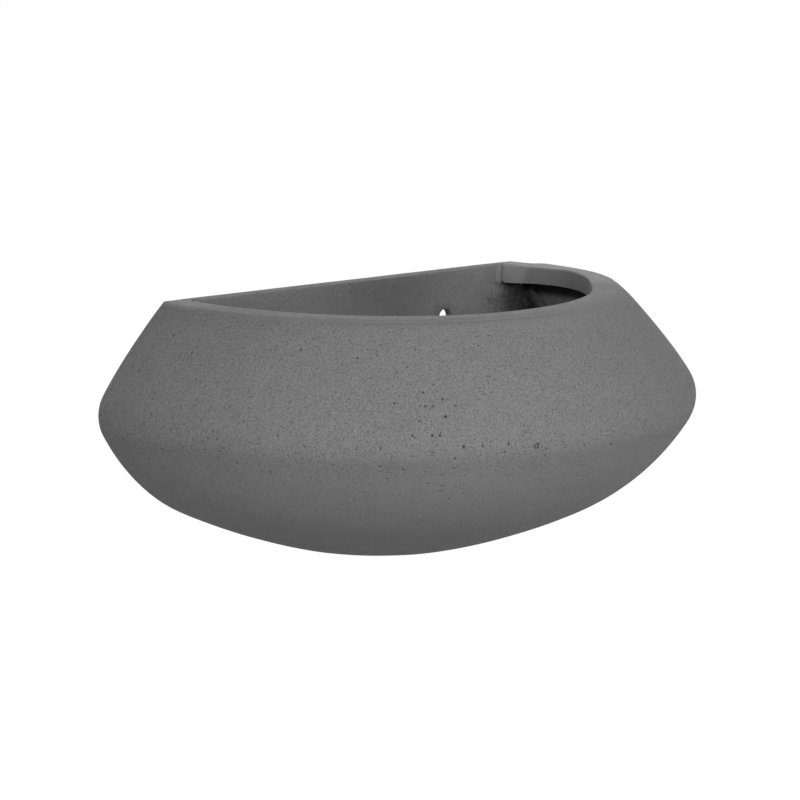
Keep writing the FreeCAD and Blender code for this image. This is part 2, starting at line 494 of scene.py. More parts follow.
def changes(value, table):
    """Sum of the smooth changes in a table."""
    return sum(change * smooth_step(value, start, full) for start, full, change in table)


def waves(point, level, *parts):
    """Height of a rough surface at a point."""
    return sum((height * noise.noise(point / length) for height, length in parts), level)


def quarter_round(distance, radius):
    """How far a rounded edge lies inside its sharp corner, at a distance from the corner."""
    short = radius - min(max(distance, 0.0), radius)
    return radius - math.sqrt(radius ** 2 - short ** 2)


# Meshes

def new_object(name, data):
    made = bpy.data.objects.new(name, data)
    bpy.context.scene.collection.objects.link(made)
    return made


class Solid:
    """Points and faces of one piece, gathered row by row."""

    def __init__(self):
        self.points = []
        self.shades = []
        self.grains = []
        self.faces = []

    def add(self, point, shade=1.0, grain=1.0):
        """Point with its shade, 1 for the plain stone, and how sandy it is there."""
        self.points.append(Vector(point))
        self.shades.append(shade)
        self.grains.append(grain)
        return len(self.points) - 1

    def row(self, points, shade=1.0, grain=1.0):
        return [self.add(point, shade, grain) for point in points]

    def skin(self, first, second, closed=False, left_out=()):
        """Quads between two rows of the same length, apart from the columns left out."""
        count = len(first)
        for i in range(count if closed else count - 1):
            if i not in left_out:
                j = (i + 1) % count
                self.faces.append((first[i], first[j], second[j], second[i]))

    def skins(self, rows, closed=False):
        """Quads between each row and the next."""
        for first, second in zip(rows, rows[1:]):
            self.skin(first, second, closed)

    def tube(self, loops):
        """Quads round closed loops, and a face at each end."""
        self.skins(loops, closed=True)
        self.faces += [loops[0], loops[-1]]

    def shares_along(self, row):
        """How far each point of a row lies along it, from 0 to 1."""
        lengths = [0.0]
        for before, after in zip(row, row[1:]):
            lengths.append(lengths[-1] + (self.points[after] - self.points[before]).length)
        return [length / lengths[-1] for length in lengths]

    def zip_up(self, first, second):
        """Triangles between two rows of different lengths, which may share their last point."""
        past_end = 2.0
        first_shares = self.shares_along(first) + [past_end]
        second_shares = self.shares_along(second) + [past_end]
        i = j = 0
        while i < len(first) - 1 or j < len(second) - 1:
            if first_shares[i + 1] <= second_shares[j + 1]:
                face = (first[i], first[i + 1], second[j])
                i += 1
            else:
                face = (first[i], second[j + 1], second[j])
                j += 1
            if len(set(face)) == 3:
                self.faces.append(face)

    def fan(self, loop, centre):
        for i in range(len(loop)):
            self.faces.append((loop[i], loop[(i + 1) % len(loop)], centre))

    def make(self, name, material, body, nodes, sharp_angle):
        """Mesh object that stands for CAD nodes and rides on their body."""
        mesh = bpy.data.meshes.new(name)
        mesh.from_pydata(self.points, [], self.faces)
        for kind, values in (("shade", self.shades), ("grain", self.grains)):
            mesh.attributes.new(kind, "FLOAT", "POINT").data.foreach_set("value", values)
        work = bmesh.new()
        work.from_mesh(mesh)
        loose = [v for v in work.verts if not v.link_faces]
        bmesh.ops.delete(work, geom=loose, context="VERTS")
        bmesh.ops.recalc_face_normals(work, faces=work.faces)
        work.to_mesh(mesh)
        work.free()
        mesh.shade_smooth()
        mesh.set_sharp_from_angle(angle=math.radians(sharp_angle))
        mesh.materials.append(material)
        piece = new_object(name, mesh)
        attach(piece, body)
        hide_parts(*nodes)


class Grid:
    """Rows of points of a solid in which round patches can be set: pits and holes."""

    def __init__(self, solid, rows):
        self.solid = solid
        self.rows = rows
        self.taken = set()

    def point(self, row, column):
        return self.solid.points[self.rows[row][column]]

    def at(self, row, column):
        """Point between the grid's own points."""
        i = min(int(row), len(self.rows) - 2)
        j = min(int(column), len(self.rows[0]) - 2)
        upper = self.point(i, j).lerp(self.point(i, j + 1), column - j)
        lower = self.point(i + 1, j).lerp(self.point(i + 1, j + 1), column - j)
        return upper.lerp(lower, row - i)

    def steps(self, row, column):
        """Way to the next row and way to the next column at a point."""
        along = (self.point(row + 1, column) - self.point(row - 1, column)) / 2
        across = (self.point(row, column + 1) - self.point(row, column - 1)) / 2
        return along, across

    def patch(self, row, column, radius):
        """Loop of grid places round a free patch for a round form, or None where it doesn't fit."""
        along, across = self.steps(row, column)
        half_rows = max(1, math.ceil(PATCH_MARGIN * radius / along.length))
        half_columns = max(1, math.ceil(PATCH_MARGIN * radius / across.length))
        top, bottom = row - half_rows, row + half_rows
        left, right = column - half_columns, column + half_columns
        if top < 0 or left < 0 or bottom >= len(self.rows) or right >= len(self.rows[0]):
            return None
        cells = {(i, j) for i in range(top, bottom) for j in range(left, right)}
        if cells & self.taken:
            return None
        self.taken |= cells
        loop = [(top, j) for j in range(left, right)]
        loop += [(i, right) for i in range(top, bottom)]
        loop += [(bottom, j) for j in range(right, left, -1)]
        loop += [(i, left) for i in range(bottom, top, -1)]
        return loop

    def ring(self, loop, centre, radius, sink, dark, ragged):
        """Points round a centre, one for each place of a patch's loop, sunk by a vector and given painted
        shade.
        """
        row, column = centre
        along, across = self.steps(row, column)
        middle = self.rows[row][column]
        shade = self.solid.shades[middle] * (1 - PIT_PAINTED_SHADE * dark)
        made = []
        for i, (r, c) in enumerate(loop):
            turn = math.atan2((r - row) * along.length, (c - column) * across.length)
            reach = radius * ragged[i]
            place = (
                row + reach * math.sin(turn) / along.length,
                column + reach * math.cos(turn) / across.length,
            )
            made.append(self.solid.add(self.at(*place) + sink, shade, self.solid.grains[middle]))
        return made

    def indices(self, loop):
        return [self.rows[r][c] for r, c in loop]

    def skin(self):
        """Quads over the whole grid, apart from the patches."""
        for i in range(len(self.rows) - 1):
            left_out = {j for r, j in self.taken if r == i}
            self.solid.skin(self.rows[i], self.rows[i + 1], left_out=left_out)


# Bowl

def shares_across(count, edge_shares=EDGE_SHARES):
    """Places of the columns from -1 at the left end to 1 at the right, closer together at both ends."""
    right_end = [1 - share for share in edge_shares]
    inner = right_end[-1]
    middle = [inner * (2 * i / count - 1) for i in range(1, count)]
    return [-share for share in right_end] + middle + right_end[::-1]


def bowl_row(section_point, normal, sink_of, shares):
    """Points round the bowl at one point of its section, sunk into the material by sink_of(point)."""
    radius, height = section_point
    row = []
    for share in shares:
        turn = share * turn_at_wall(radius)
        sink = sink_of(on_bowl(radius, turn, height))
        out, lift = (0.0, 0.0) if sink_of is inside_sink else drift(turn, height)
        inner = 1.0 if sink_of is inside_sink else share_over_rim(radius)
        out += side_drift(turn, height, inner)
        r = radius - sink * normal[0] + out
        h = height - sink * normal[1] + lift
        row.append(on_bowl(r, share * turn_at_wall(r), h))
    return row


def drift(turn, height):
    """How far the hand-made bowl stands out from a true turned form, outwards and upwards."""
    out = RIGHT_BULGE * within(turn, *BULGE_TURNS) * within(height, *BULGE_HEIGHTS)
    lift = LEFT_LIFT + (RIGHT_LIFT - LEFT_LIFT) * smooth_step(turn, *LIFT_TURNS)
    return out, lift * within(height, *LIFT_HEIGHTS)


def side_drift(turn, height, inner):
    """How far the wall's top stands out at the right: inner is 0 on its outside and 1 on its inside."""
    most = RIM_SIDE_DRIFT + RIM_THINNING * inner
    return most * smooth_step(height, *RIM_DRIFT_HEIGHTS) * within(turn, *RIM_DRIFT_TURNS)


def share_over_rim(radius):
    """Share of the way over the rim, from 0 at its outer edge to 1 where the lip begins."""
    return min(max((RIM_RADIUS - radius) / (RIM_RADIUS - LIP_JOINT[0]), 0.0), 1.0)


def uneven(point):
    """How far the rough outside lies inside its true form."""
    return max(0.0, waves(point, *OUTSIDE_WAVES))


def edge_softening(point):
    """Sink that softens the rim's outer edge, which is crisp towards its ends."""
    length = RIM_SOFTNESS * within(turn_of(point), *RIM_SOFT_TURNS)
    short = length - math.hypot(radius_of(point) - RIM_RADIUS, point.z - BASE - HEIGHT)
    return RIM_SOFT_SINK * short ** 2 / length if short > 0 else 0.0


def outside_sink(point):
    return uneven(point) + quarter_round(-point.y, WALL_EDGE_EASING) + edge_softening(point)


def rim_sink(point):
    """Sink of the rim: trowelled flat, and worn down at its right end by the wall."""
    outer = smooth_step(radius_of(point), LIP_RADIUS + WALL, RIM_RADIUS)
    by_wall = smooth_step(-point.y, RIM_END_LENGTH, 0.0)
    worn = outer * by_wall if point.x > 0 else 0.0
    return outside_sink(point) + RIM_END_DROOP * worn


def inside_sink(point):
    """Sink of the rough inside, with the hollow under the lip."""
    depth = smooth_step(BASE + HEIGHT - point.z, 0.0, LIP_HEIGHT)
    return depth * waves(point, *INSIDE_WAVES) + UNDERCUT_DEPTH * wall_hollow(point)


def undercut(point, reach=UNDERCUT):
    """1 in the hollow under the lip, falling to 0 at a reach below it and behind the lip. It places the
    hollow and its painted shadow.
    """
    over = point.z - BASE - (HEIGHT - LIP_HEIGHT)
    return within(over, (-reach, -UNDERCUT_FULL * reach), UNDERCUT_BEHIND_LIP)


def wall_hollow(point):
    """1 in the hollow under the lip, falling to 0 behind the back panel's face. It sinks the inside there and
    darkens it with painted shadow.
    """
    return undercut(point) * smooth_step(-point.y, *UNDERCUT_FROM_WALL)


def outside_finish(point):
    """Shade and grain of the outside: smoother under the mould's parting line, and darkest right at it."""
    height = point.z - BASE + waves(point, *PARTING_WAVES)
    turn = turn_of(point)
    trowelled = smooth_step(height, *TROWELLED_HEIGHTS) * smooth_step(turn, *TROWELLED_TURNS)
    dull = smooth_step(height, *DULL_HEIGHTS) * smooth_step(turn, *DULL_TURNS)
    smoothed = TROWELLED_GRAIN - SANDY_GRAIN * smooth_step(turn, *SANDY_TURNS)
    # Shade by height is painted light and shade
    shade = 1 + changes(height, OUTSIDE_PAINTED_LIGHT_AND_SHADE) + UPPER_EDGE_SHADE * (trowelled - dull)
    grain = 1 + changes(height, OUTSIDE_GRAINS) - smoothed * trowelled
    return shade, grain


def rim_finish(point):
    """Shade and grain of the trowelled rim, which is palest at its ends, with a painted sheen at its right
    end, and dull next to its left end.
    """
    return RIM_SHADE + changes(turn_of(point), RIM_SHADES_AND_SHEEN), RIM_GRAIN


def inside_finish(point):
    """Shade and grain of the inside: painted light all over, and painted shadow in the hollow under the lip.
    """
    return INSIDE_PAINTED_LIGHT * (1 - UNDERCUT_PAINTED_SHADOW * wall_hollow(point)), INSIDE_GRAIN


def fill_to_drain(solid, loop, height, shade):
    """Closes a level face between a loop of points and the drain hole. Returns the hole's edge."""
    centre = Vector((0, -DRAIN_TO_WALL, BASE + height))
    rings = [loop]
    for ring in range(1, FLOOR_RINGS + 1):
        points = []
        for index in loop:
            start = solid.points[index]
            outward = Vector((start.x, start.y + DRAIN_TO_WALL, 0)).normalized()
            points.append(start.lerp(centre + outward * DRAIN_RADIUS, ring / FLOOR_RINGS))
        rings.append(solid.row(points, shade, INSIDE_GRAIN))
    solid.skins(rings, closed=True)
    return rings[-1]


def chord(solid, row):
    """Row along the wall from the right end of another row back to its left end."""
    right_end = solid.points[row[-1]]
    left_end = solid.points[row[0]]
    inner = solid.row([right_end.lerp(left_end, i / CHORD_POINTS) for i in range(1, CHORD_POINTS)])
    return [row[-1]] + inner + [row[0]]


def make_bowl(material):
    solid = Solid()
    shares = shares_across(COLUMNS)
    outside = outside_section()
    rim = rim_section()
    inside = INSIDE[1:]
    stretches = (
        (outside, outside_sink, outside_finish),
        (rim, rim_sink, rim_finish),
        (inside, inside_sink, inside_finish),
    )
    normals = normals_of(outside + rim) + normals_of(inside)
    rows = []
    for section, sink_of, finish_of in stretches:
        for section_point in section:
            points = bowl_row(section_point, normals[len(rows)], sink_of, shares)
            rows.append([solid.add(point, *finish_of(point)) for point in points])

    grid = Grid(solid, rows[:len(outside)])
    dig_all_pits(grid, outside, shares)
    grid.skin()
    solid.skins(rows[len(outside) - 1:])

    base_chord = chord(solid, rows[0])
    floor_chord = chord(solid, rows[-1])
    base_edge = fill_to_drain(solid, rows[0] + base_chord[1:-1], 0.0, 1.0)
    # The inner floor takes the inside's painted light
    floor_edge = fill_to_drain(solid, rows[-1] + floor_chord[1:-1], WALL, INSIDE_PAINTED_LIGHT)
    solid.skin(base_edge, floor_edge, closed=True)
    solid.skin(base_chord, floor_chord)

    split = len(outside) + len(rim) // 2
    for side in (0, -1):
        outer_end = [row[side] for row in rows[:split]]
        inner_end = [row[side] for row in rows[:split - 2:-1]]
        solid.zip_up(outer_end, inner_end)
    solid.make("cast_bowl", material, "planter", ["front_bowl"], sharp_angle=50)


def dig_pit(grid, row, column, diameter, depth, shape, chance):
    """Sinks a pit into a grid, unless another pit or the grid's edge is too near."""
    loop = grid.patch(row, column, PIT_ROOM * diameter)
    if loop is None:
        return
    solid = grid.solid
    along, across = grid.steps(row, column)
    inward = along.cross(across).normalized()
    ragged = [chance.uniform(*PIT_RAGGED) for _ in loop]
    rings = [grid.indices(loop)]
    for share, sunk, dark in shape:
        sink = inward * depth * sunk
        rings.append(grid.ring(loop, (row, column), share * diameter / 2, sink, dark, ragged))
    solid.skins(rings, closed=True)
    centre = solid.add(grid.point(row, column) + sink, solid.shades[rings[-1][0]])
    solid.fan(rings[-1], centre)


def dig_all_pits(grid, section, shares):
    """The pit with a stone in it, the larger pits, and small ones at random, many of them by the equator."""
    chance = random.Random(PIT_SEED)

    def dig(turn, height, diameter, depth, shape):
        row = nearest([point[1] for point in section], height)
        whole = turn_at_wall(section[row][0])
        column = nearest([share * whole for share in shares], math.radians(turn))
        dig_pit(grid, row, column, diameter, depth * diameter, shape, chance)

    dig(*PIT_WITH_STONE, STONE_PIT_DEPTH, STONE_IN_PIT)
    for pit in SEEN_PITS:
        dig(*pit, SEEN_PIT_DEPTH, ROUND_PIT)
    for _ in range(PIT_COUNT):
        by_equator = chance.random() < PITS_BY_EQUATOR
        height = chance.gauss(*PIT_BAND) if by_equator else chance.uniform(*PIT_HEIGHTS)
        turn = chance.uniform(-PIT_TURN, PIT_TURN)
        diameter = SMALL_PIT + (LARGE_PIT - SMALL_PIT) * chance.random() ** 2
        if PIT_HEIGHTS[0] < height < PIT_HEIGHTS[1]:
            dig(turn, height, diameter, PIT_DEPTH, ROUND_PIT)


# Lip

def lip_section():
    """Closed section of the lip: down its face, out under it, up the bowl's wall and back over its top."""
    low = HEIGHT - LIP_HEIGHT
    eased = [
        (LIP_RADIUS + LIP_EASING * (1 - math.sin(a)), HEIGHT - LIP_EASING * (1 - math.cos(a)))
        for a in quarter_turn(EASING_STEPS)
    ]
    corners = (eased[-1], (LIP_RADIUS, low), (inside_radius(low), low), LIP_JOINT, eased[0])
    points = eased[:-1]
    for first, last, count in zip(corners, corners[1:], LIP_COURSES):
        points += between(first, last, count)
    return points


def lip_shade(point):
    """Shade of the lip's face, with painted light by the wall."""
    from_wall = -point.y + waves(point, *LIP_LIGHT_WAVES)
    return LIP_SHADE + LIP_PAINTED_LIGHT * smooth_step(from_wall, *LIP_PAINTED_LIGHT_EDGE)


def make_lip(material):
    solid = Solid()
    shares = shares_across(LIP_COLUMNS)
    rows = []
    for radius, height in lip_section():
        depth = (HEIGHT - height) / LIP_HEIGHT
        inner = 1 - smooth_step(radius, LIP_RADIUS + LIP_EASING, LIP_JOINT[0])
        face = depth * (1 - depth) if radius < LIP_RADIUS + LIP_EASING else 0.0
        row = []
        for share in shares:
            turn = share * turn_at_wall(radius, PANEL)
            point = on_bowl(radius, turn, height)
            r = radius + changes(turn, LIP_SHIFTS) * inner + side_drift(turn, height, 1.0) * (1 - inner)
            r += face * waves(point, *LIP_FACE_WAVES)
            h = height - changes(abs(turn), LIP_HANGS) * depth - uneven(point) * (1 - depth)
            place = on_bowl(r, share * turn_at_wall(r, PANEL), h)
            shade = rim_finish(place)[0] if depth < LIP_TOP else lip_shade(point)
            row.append(solid.add(place, shade, RIM_GRAIN))
        rows.append(row)
    solid.skins(rows + rows[:1])
    for side in (0, -1):
        solid.faces.append([row[side] for row in rows])
    solid.make("rim_lip", material, "planter", ["rim_collar"], sharp_angle=40)


# Back panel

def panel_half_width(height, distance):
    """Half the width of the back panel at a height, at a distance in front of the wall."""
    return math.sqrt(inside_radius(height) ** 2 - (AXIS_TO_WALL - distance) ** 2)


def panel_shade(across, height):
    """Shade of the panel: darker in the middle, paler to both sides, painted shade under its top and painted
    light on it.
    """
    # Painted light on the top; below it, painted shade that turns to painted light further down
    if height > HEIGHT - PANEL_EASING:
        return PANEL_TOP_PAINTED_LIGHT
    level = PANEL_UPPER_PAINTED_SHADE + PANEL_LOWER_PAINTED_LIGHT * smooth_step(HEIGHT - height, *PANEL_PAINTED_LIGHT_DEPTHS)
    return (PANEL_SHADE + changes(across, PANEL_SHADES)) * level


def make_panel(material):
    solid = Solid()
    shares = shares_across(PANEL_COLUMNS, PANEL_EDGE_SHARES)
    eased_from = HEIGHT - PANEL_EASING
    heights = [WALL + (eased_from - WALL) * i / PANEL_COURSES for i in range(PANEL_COURSES + 1)]

    def panel_row(height, distance):
        half = panel_half_width(height, distance)
        row = []
        for share in shares:
            point = Vector((share * half, -distance, BASE + height))
            if distance > 0:
                eased = quarter_round(HEIGHT - height, PANEL_EASING)
                point.y += waves(point, *PANEL_WAVES) + eased * smooth_step(abs(point.x), *PANEL_EASED_ACROSS)
            if height > eased_from:
                point.z -= uneven(point)
            row.append(solid.add(point, panel_shade(point.x, height), PANEL_GRAIN))
        return row

    front = [panel_row(height, PANEL) for height in heights]
    top = [HEIGHT - PANEL_EASING * (1 - math.sin(a)) for a in quarter_turn(EASING_STEPS)[1:]]
    edge = [panel_row(height, PANEL) for height in top]
    back_top = panel_row(HEIGHT, 0.0)
    back = [panel_row(height, 0.0) for height in heights[::-1]]

    front_grid = Grid(solid, front)
    back_grid = Grid(solid, back[::-1])
    for side in (-1, 1):
        row = nearest(heights, -BASE)
        half = panel_half_width(heights[row], PANEL)
        column = nearest([share * half for share in shares], side * HOLE_SPREAD)
        bore_hole(front_grid, back_grid, row, column, Vector((side * HOLE_SPREAD, 0, 0)))
    front_grid.skin()
    back_grid.skin()

    solid.skins([front[-1]] + edge + [back_top, back[0]])
    solid.skin(back[-1], front[0])
    for side in (0, -1):
        front_end = [row[side] for row in front + edge]
        back_end = [row[side] for row in back[::-1] + [back_top]]
        solid.zip_up(front_end, back_end)
    solid.make("back_plate", material, "planter", ["back_panel"], sharp_angle=40)


def bore_hole(front_grid, back_grid, row, column, centre):
    """Round hole through both faces of the panel, with slightly broken edges."""
    solid = front_grid.solid
    loop = front_grid.patch(row, column, HOLE_RADIUS + 2 * HOLE_EASING)
    back_grid.taken |= front_grid.taken

    def ring(distance, radius):
        made = []
        for r, c in loop:
            toward = front_grid.point(r, c) - centre
            turn = math.atan2(toward.z, toward.x)
            place = (centre.x + radius * math.cos(turn), -distance, centre.z + radius * math.sin(turn))
            made.append(solid.add(place))
        return made

    courses = [
        front_grid.indices(loop),
        ring(PANEL, HOLE_RADIUS + HOLE_EASING),
        ring(PANEL - HOLE_EASING, HOLE_RADIUS),
        ring(HOLE_EASING, HOLE_RADIUS),
        ring(0.0, HOLE_RADIUS + HOLE_EASING),
        back_grid.indices(loop),
    ]
    solid.skins(courses, closed=True)


# Mortar

def pebbles(point, size):
    """Height of packed grains of a size, from 0 between them to about 1 on top."""
    distances = noise.voronoi(point / size)[0]
    return max(0.0, 1.0 - SEAM_STONE_STEEPNESS * distances[0])


def side_stations():
    """Places down the right corner: the corner, the mortar's way along the panel and its edge on the bowl."""
    wall = [p for p in inside_section(SEAM_STEP) if p[1] < HEIGHT - LIP_HEIGHT - SEAM_GAP]
    to_axis = AXIS_TO_WALL - PANEL
    stations = []
    for (radius, height), normal in zip(wall, normals_of(wall)):
        corner = Vector((math.sqrt(radius ** 2 - to_axis ** 2), -PANEL, BASE + height))
        along_wall = waves(corner, *SEAM_ON_WALL)
        feather = math.sqrt(radius ** 2 - (to_axis - along_wall) ** 2)
        on_wall = Vector((feather, -PANEL - along_wall, BASE + height))
        upper = smooth_step(height, *SEAM_UPPER)
        inward = Vector((normal[0], 0, normal[1])).lerp(Vector((-1, 0, 0)), upper).normalized()
        reach = SEAM_ON_PANEL + (corner.x - SEAM_TOP_EDGE - SEAM_ON_PANEL) * upper
        reach += upper * waves(corner, *SEAM_EDGE_WAVES)
        stations.append((corner, inward * reach, on_wall))
    return stations


def seam_stations():
    """Places down the right corner, across the floor and up the left corner."""
    right = side_stations()

    def moved(station, share):
        return [Vector((p.x * share, p.y, p.z)) for p in station]

    floor = []
    for i in range(1, SEAM_FLOOR_STATIONS):
        corner, along_panel, on_wall = moved(right[-1], 1 - 2 * i / SEAM_FLOOR_STATIONS)
        floor.append((corner, along_panel.normalized() * SEAM_ON_PANEL, on_wall))
    left = [moved(station, -1) for station in right]
    return right + floor + left[::-1]


def seam_lump(point):
    """How far the stones and lumps of the mortar stand out."""
    lump = waves(point, *SEAM_WAVES)
    for i, (height, size) in enumerate(SEAM_STONES):
        lump += height * (pebbles(point + i * SEAM_STONE_SHIFT, size) - SEAM_STONE_LEVEL)
    return max(lump, SEAM_LOWEST)


def seam_shade(point, share, lump):
    """Shade of the mortar at a share of the way from the panel to the bowl, with painted shade between its
    stones.
    """
    shade = SEAM_SHADE + changes(share, SEAM_SHADES) + min(0.0, lump / SEAM_LUMP_PAINTED_SHADE)
    for reach, darkness, edge in SEAM_SHADOWS:
        shade *= 1 - darkness * undercut(point, reach) * smooth_step(share, *edge)
    return shade


def make_seam(material):
    """Mortar in the inner corner of panel and bowl, pressed into a hollow curve and full of small stones."""
    solid = Solid()
    loops = []
    for corner, along_panel, on_wall in seam_stations():
        on_panel = corner + along_panel
        inward = along_panel.normalized()
        filling = corner + inward * SEAM_FILLING[0] + Vector((0, -SEAM_FILLING[1], 0))
        out = (inward + Vector((0, -SEAM_FORWARD, 0))).normalized()
        loop = [solid.add(corner)]
        for i in range(SEAM_COLUMNS + 1):
            share = i / SEAM_COLUMNS
            point = on_panel.lerp(filling, share).lerp(filling.lerp(on_wall, share), share)
            body = math.sin(math.pi * share) ** SEAM_FULLNESS
            lump = seam_lump(point)
            loop.append(solid.add(point + out * lump * body, seam_shade(point, share, lump)))
        loops.append(loop)
    solid.tube(loops)
    solid.make("seam_mortar", material, "planter", ["seam_fillet"], sharp_angle=60)


def make_lip_strip(name, node, side, strip, material):
    """Mortar squeezed out in the upright corner of the panel and one end of the lip."""
    solid = Solid()
    offset, width, shade, shape = strip
    start = math.sqrt(LIP_RADIUS ** 2 - (AXIS_TO_WALL - PANEL) ** 2) + offset
    length = LIP_HEIGHT + LIP_END_DROOP - 2 * STRIP_GAP
    loops = []
    for i in range(STRIP_COURSES + 1):
        z = BASE + HEIGHT - STRIP_GAP - length * i / STRIP_COURSES
        loop = []
        for j in range(STRIP_COLUMNS + 1):
            share = j / STRIP_COLUMNS
            point = Vector((start - width * share, -PANEL, z))
            point.x -= share * waves(point + STRIP_EDGE_SHIFT, *STRIP_EDGE_WAVES)
            point.y -= numpy.interp(share, *shape) * waves(point, *STRIP_WAVES)
            loop.append(Vector((side * point.x, point.y, point.z)))
        loop.append(Vector((side * (start - width / 2), -PANEL + STRIP_SUNK, z)))
        loops.append(solid.row(loop, shade, RIM_GRAIN))
    solid.tube(loops)
    solid.make(name, material, "planter", [node], sharp_angle=60)


# Stopper

def make_stopper(material):
    """Rubber stopper: a stem in the drain hole under a flange with a rounded, slightly dished top."""
    solid = Solid()
    seat = WALL + PLUG_GAP
    stem = DRAIN_RADIUS - PLUG_GAP
    top = seat + PLUG_FLANGE
    shoulder = PLUG_FLANGE_RADIUS - PLUG_EASING
    section = [(radius, PLUG_RECESS + rise) for radius, rise in PLUG_FOOT]
    section += [(stem - inset, PLUG_RECESS + rise) for inset, rise in PLUG_STEM_EDGE]
    section += [
        (stem, seat),
        (PLUG_FLANGE_RADIUS - PLUG_FLANGE_EDGE, seat),
        (PLUG_FLANGE_RADIUS, seat + PLUG_FLANGE_EDGE),
    ]
    for a in quarter_turn(PLUG_EASING_STEPS):
        section.append((shoulder + PLUG_EASING * math.cos(a), top - PLUG_EASING * (1 - math.sin(a))))
    section += [(radius, top - sunk) for radius, sunk in PLUG_DISH]
    turns = [2 * math.pi * i / PLUG_SIDES for i in range(PLUG_SIDES)]
    rows = []
    for radius, height in section:
        rows.append(solid.row(
            [(radius * math.sin(t), -DRAIN_TO_WALL - radius * math.cos(t), BASE + height) for t in turns]
        ))
    solid.skins(rows, closed=True)
    for row, height in ((rows[0], section[0][1]), (rows[-1], section[-1][1])):
        solid.fan(row, solid.add((0, -DRAIN_TO_WALL, BASE + height)))
    solid.make("rubber_stopper", material, "stopper", ["drain_plug"], sharp_angle=35)


# Materials

class Paint:
    """Nodes of a material or of the world, built from small steps."""

    def __init__(self, owner, coordinates="Object"):
        self.owner = owner
        owner.use_nodes = True
        self.tree = owner.node_tree
        self.tree.nodes.clear()
        self.place = self.node("TexCoord").outputs[coordinates]

    def node(self, kind, given=(), **settings):
        """New node. Its inputs, by name or number, are given values or other nodes' outputs."""
        made = self.tree.nodes.new("ShaderNode" + kind)
        for key, value in settings.items():
            setattr(made, key, value)
        for key, value in dict(given).items():
            if isinstance(value, bpy.types.NodeSocket):
                self.tree.links.new(value, made.inputs[key])
            else:
                made.inputs[key].default_value = value
        return made

    def math(self, operation, *values):
        return self.node("Math", enumerate(values), operation=operation).outputs[0]

    def clouds(self, size, detail=2.0, roughness=0.5):
        """Soft noise from 0 to 1 with patches of a size in metres."""
        given = {"Vector": self.place, "Scale": 1 / size, "Detail": detail, "Roughness": roughness}
        return self.node("TexNoise", given).outputs["Fac"]

    def patches(self, size, detail, roughness=0.5):
        """Soft noise about 0."""
        return self.math("SUBTRACT", self.clouds(size, detail, roughness), 0.5)

    def ramp(self, value, low, high, start=0.0, end=1.0):
        """Smooth change from start, where a value is low, to end, where it is high."""
        given = {"Value": value, "From Min": low, "From Max": high, "To Min": start, "To Max": end}
        return self.node("MapRange", given, interpolation_type="SMOOTHSTEP").outputs["Result"]

    def patchy(self, size, low, high):
        """Value between low and high in patches of a size."""
        return self.ramp(self.clouds(size), *USUAL_NOISE, low, high)

    def specks(self, spacing, reach, share):
        """1 inside round specks, whose reach is a share of their spacing, at a share of all places."""
        cells = self.node("TexVoronoi", {"Vector": self.place, "Scale": 1 / spacing})
        chance = self.node("SeparateColor", {"Color": cells.outputs["Color"]})
        spot = self.ramp(cells.outputs["Distance"], SPECK_CORE * reach, reach, 1.0, 0.0)
        chosen = self.math("LESS_THAN", chance.outputs["Red"], share)
        return self.math("MULTIPLY", spot, chosen)

    def grey(self, tone):
        return self.node("CombineColor", dict.fromkeys(("Red", "Green", "Blue"), tone)).outputs["Color"]

    def show(self, surface, output="OutputMaterial"):
        self.node(output, {"Surface": surface})

    def finish(self, tone, roughness, height, bump_distance, gloss):
        bump = self.node("Bump", {"Strength": 1.0, "Distance": bump_distance, "Height": height})
        shader = self.node("BsdfPrincipled", {
            "Base Color": self.grey(tone),
            "Roughness": roughness,
            "Specular IOR Level": gloss,
            "Normal": bump.outputs["Normal"],
        })
        self.show(shader.outputs["BSDF"])
        return self.owner


def stone_paint(name, grey, coarse=1.0):
    """Fine sandy cast stone: clouds, sand grain, air holes with painted shade and a few light sand specks."""
    p = Paint(bpy.data.materials.new(name))
    grain = p.node("Attribute", attribute_name="grain").outputs["Fac"]
    shade = p.node("Attribute", attribute_name="shade").outputs["Fac"]

    tone = STONE_LEVEL
    for size, strength in (CLOUDS, BLOTS):
        tone = p.math("MULTIPLY_ADD", p.patches(size, CLOUD_DETAIL), strength, tone)
    sand = p.patches(SAND[0], SAND_DETAIL, SAND_ROUGHNESS)
    tone = p.math("MULTIPLY_ADD", sand, p.math("MULTIPLY", grain, SAND[1] * coarse), tone)
    tone = p.math("MULTIPLY_ADD", p.specks(*LIGHT_SPECKS), SPECK_LIGHT, tone)

    # Air holes are darkened with painted shade, as well as sunk by the bump
    fine_holes = p.math("MULTIPLY", p.specks(*FINE_HOLES), FINE_HOLE_PAINTED_SHADE)
    holes = p.math("MAXIMUM", p.specks(*MIDDLE_HOLES), p.specks(*LARGE_HOLES))
    holes = p.math("MAXIMUM", p.math("MULTIPLY", holes, HOLE_PAINTED_SHADE), fine_holes)
    holes = p.math("MULTIPLY", holes, grain)
    tone = p.math("MULTIPLY", tone, p.math("SUBTRACT", 1.0, holes))
    tone = p.math("MULTIPLY", tone, shade)
    tone = p.math("MULTIPLY", tone, grey)

    height = p.math("SUBTRACT", p.math("MULTIPLY", sand, grain), holes)
    return p.finish(tone, p.patchy(*STONE_ROUGHNESS), height, SAND_BUMP * coarse, STONE_GLOSS)


def rubber_paint(name, grey):
    """Matt black rubber with faint clouds."""
    p = Paint(bpy.data.materials.new(name))
    size, strength, level = RUBBER_CLOUDS
    tone = p.math("MULTIPLY_ADD", p.clouds(size, CLOUD_DETAIL), grey * strength, grey * level)
    bump_size, bump_distance = RUBBER_BUMP
    return p.finish(tone, p.patchy(*RUBBER_ROUGHNESS), p.clouds(bump_size), bump_distance, RUBBER_GLOSS)


# Stage

